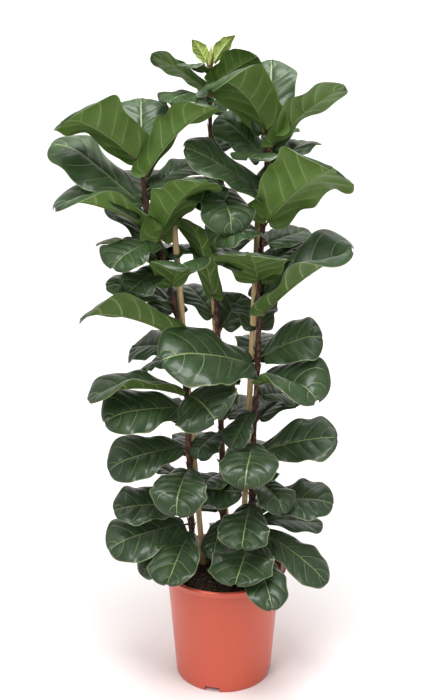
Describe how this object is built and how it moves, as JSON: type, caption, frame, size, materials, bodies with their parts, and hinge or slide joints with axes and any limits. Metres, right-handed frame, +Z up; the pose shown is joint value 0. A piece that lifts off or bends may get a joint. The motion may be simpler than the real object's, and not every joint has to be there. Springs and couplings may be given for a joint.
{
  "type": "potted fiddle leaf fig",
  "caption": "Staked fiddle leaf fig in a round terracotta-coloured nursery pot: large glossy violin-shaped leaves on slim woody stems, standing on the pot's flat base.",
  "frame": {"origin": "centre of the pot's base, on the floor it stands on", "axes": "+Z up along the pot's axis, -Y towards the front of the plant, +X to its right as seen from the front"},
  "size_m": [0.5007, 0.3264, 1.1766],
  "materials": {
    "terracotta_plastic": "satin",
    "peat": "crumbly matte",
    "pale_wood": "plain turned wood",
    "bark": "papery bark",
    "tie": "matte",
    "leaf_green": "waxy",
    "young_leaf": "waxy"
  },
  "bodies": {
    "root": {"pot": "terracotta_plastic", "soil": "peat", "left_stake": "pale_wood", "right_stake": "pale_wood", "rear_stake": "pale_wood", "left_stem": "bark", "right_stem": "bark", "rear_stem": "bark", "stem_tie": "tie", "left_leaf_01": "leaf_green", "left_leaf_02": "leaf_green", "left_leaf_03": "leaf_green", "left_leaf_04": "leaf_green", "left_leaf_05": "leaf_green", "left_leaf_06": "leaf_green", "left_leaf_07": "leaf_green", "left_leaf_08": "leaf_green", "left_leaf_09": "leaf_green", "left_leaf_10": "leaf_green", "left_leaf_11": "leaf_green", "left_leaf_12": "leaf_green", "left_leaf_13": "leaf_green", "left_leaf_14": "leaf_green", "left_leaf_15": "leaf_green", "left_leaf_16": "leaf_green", "left_leaf_17": "leaf_green", "left_leaf_18": "leaf_green", "left_leaf_19": "leaf_green", "left_leaf_20": "leaf_green", "right_leaf_01": "leaf_green", "right_leaf_02": "leaf_green", "right_leaf_03": "leaf_green", "right_leaf_04": "leaf_green", "right_leaf_05": "leaf_green", "right_leaf_06": "leaf_green", "right_leaf_07": "leaf_green", "right_leaf_08": "leaf_green", "right_leaf_09": "leaf_green", "right_leaf_10": "leaf_green", "right_leaf_11": "leaf_green", "right_leaf_12": "leaf_green", "right_leaf_13": "leaf_green", "right_leaf_14": "leaf_green", "right_leaf_15": "leaf_green", "right_leaf_16": "leaf_green", "right_leaf_17": "leaf_green", "right_leaf_18": "leaf_green", "right_leaf_19": "leaf_green", "rear_leaf_01": "young_leaf", "rear_leaf_02": "young_leaf", "rear_leaf_03": "leaf_green", "rear_leaf_04": "leaf_green", "rear_leaf_05": "leaf_green", "rear_leaf_06": "leaf_green", "rear_leaf_07": "leaf_green", "rear_leaf_08": "leaf_green", "rear_leaf_09": "leaf_green", "rear_leaf_10": "leaf_green", "rear_leaf_11": "leaf_green", "rear_leaf_12": "leaf_green"}
  },
  "joints": []
}
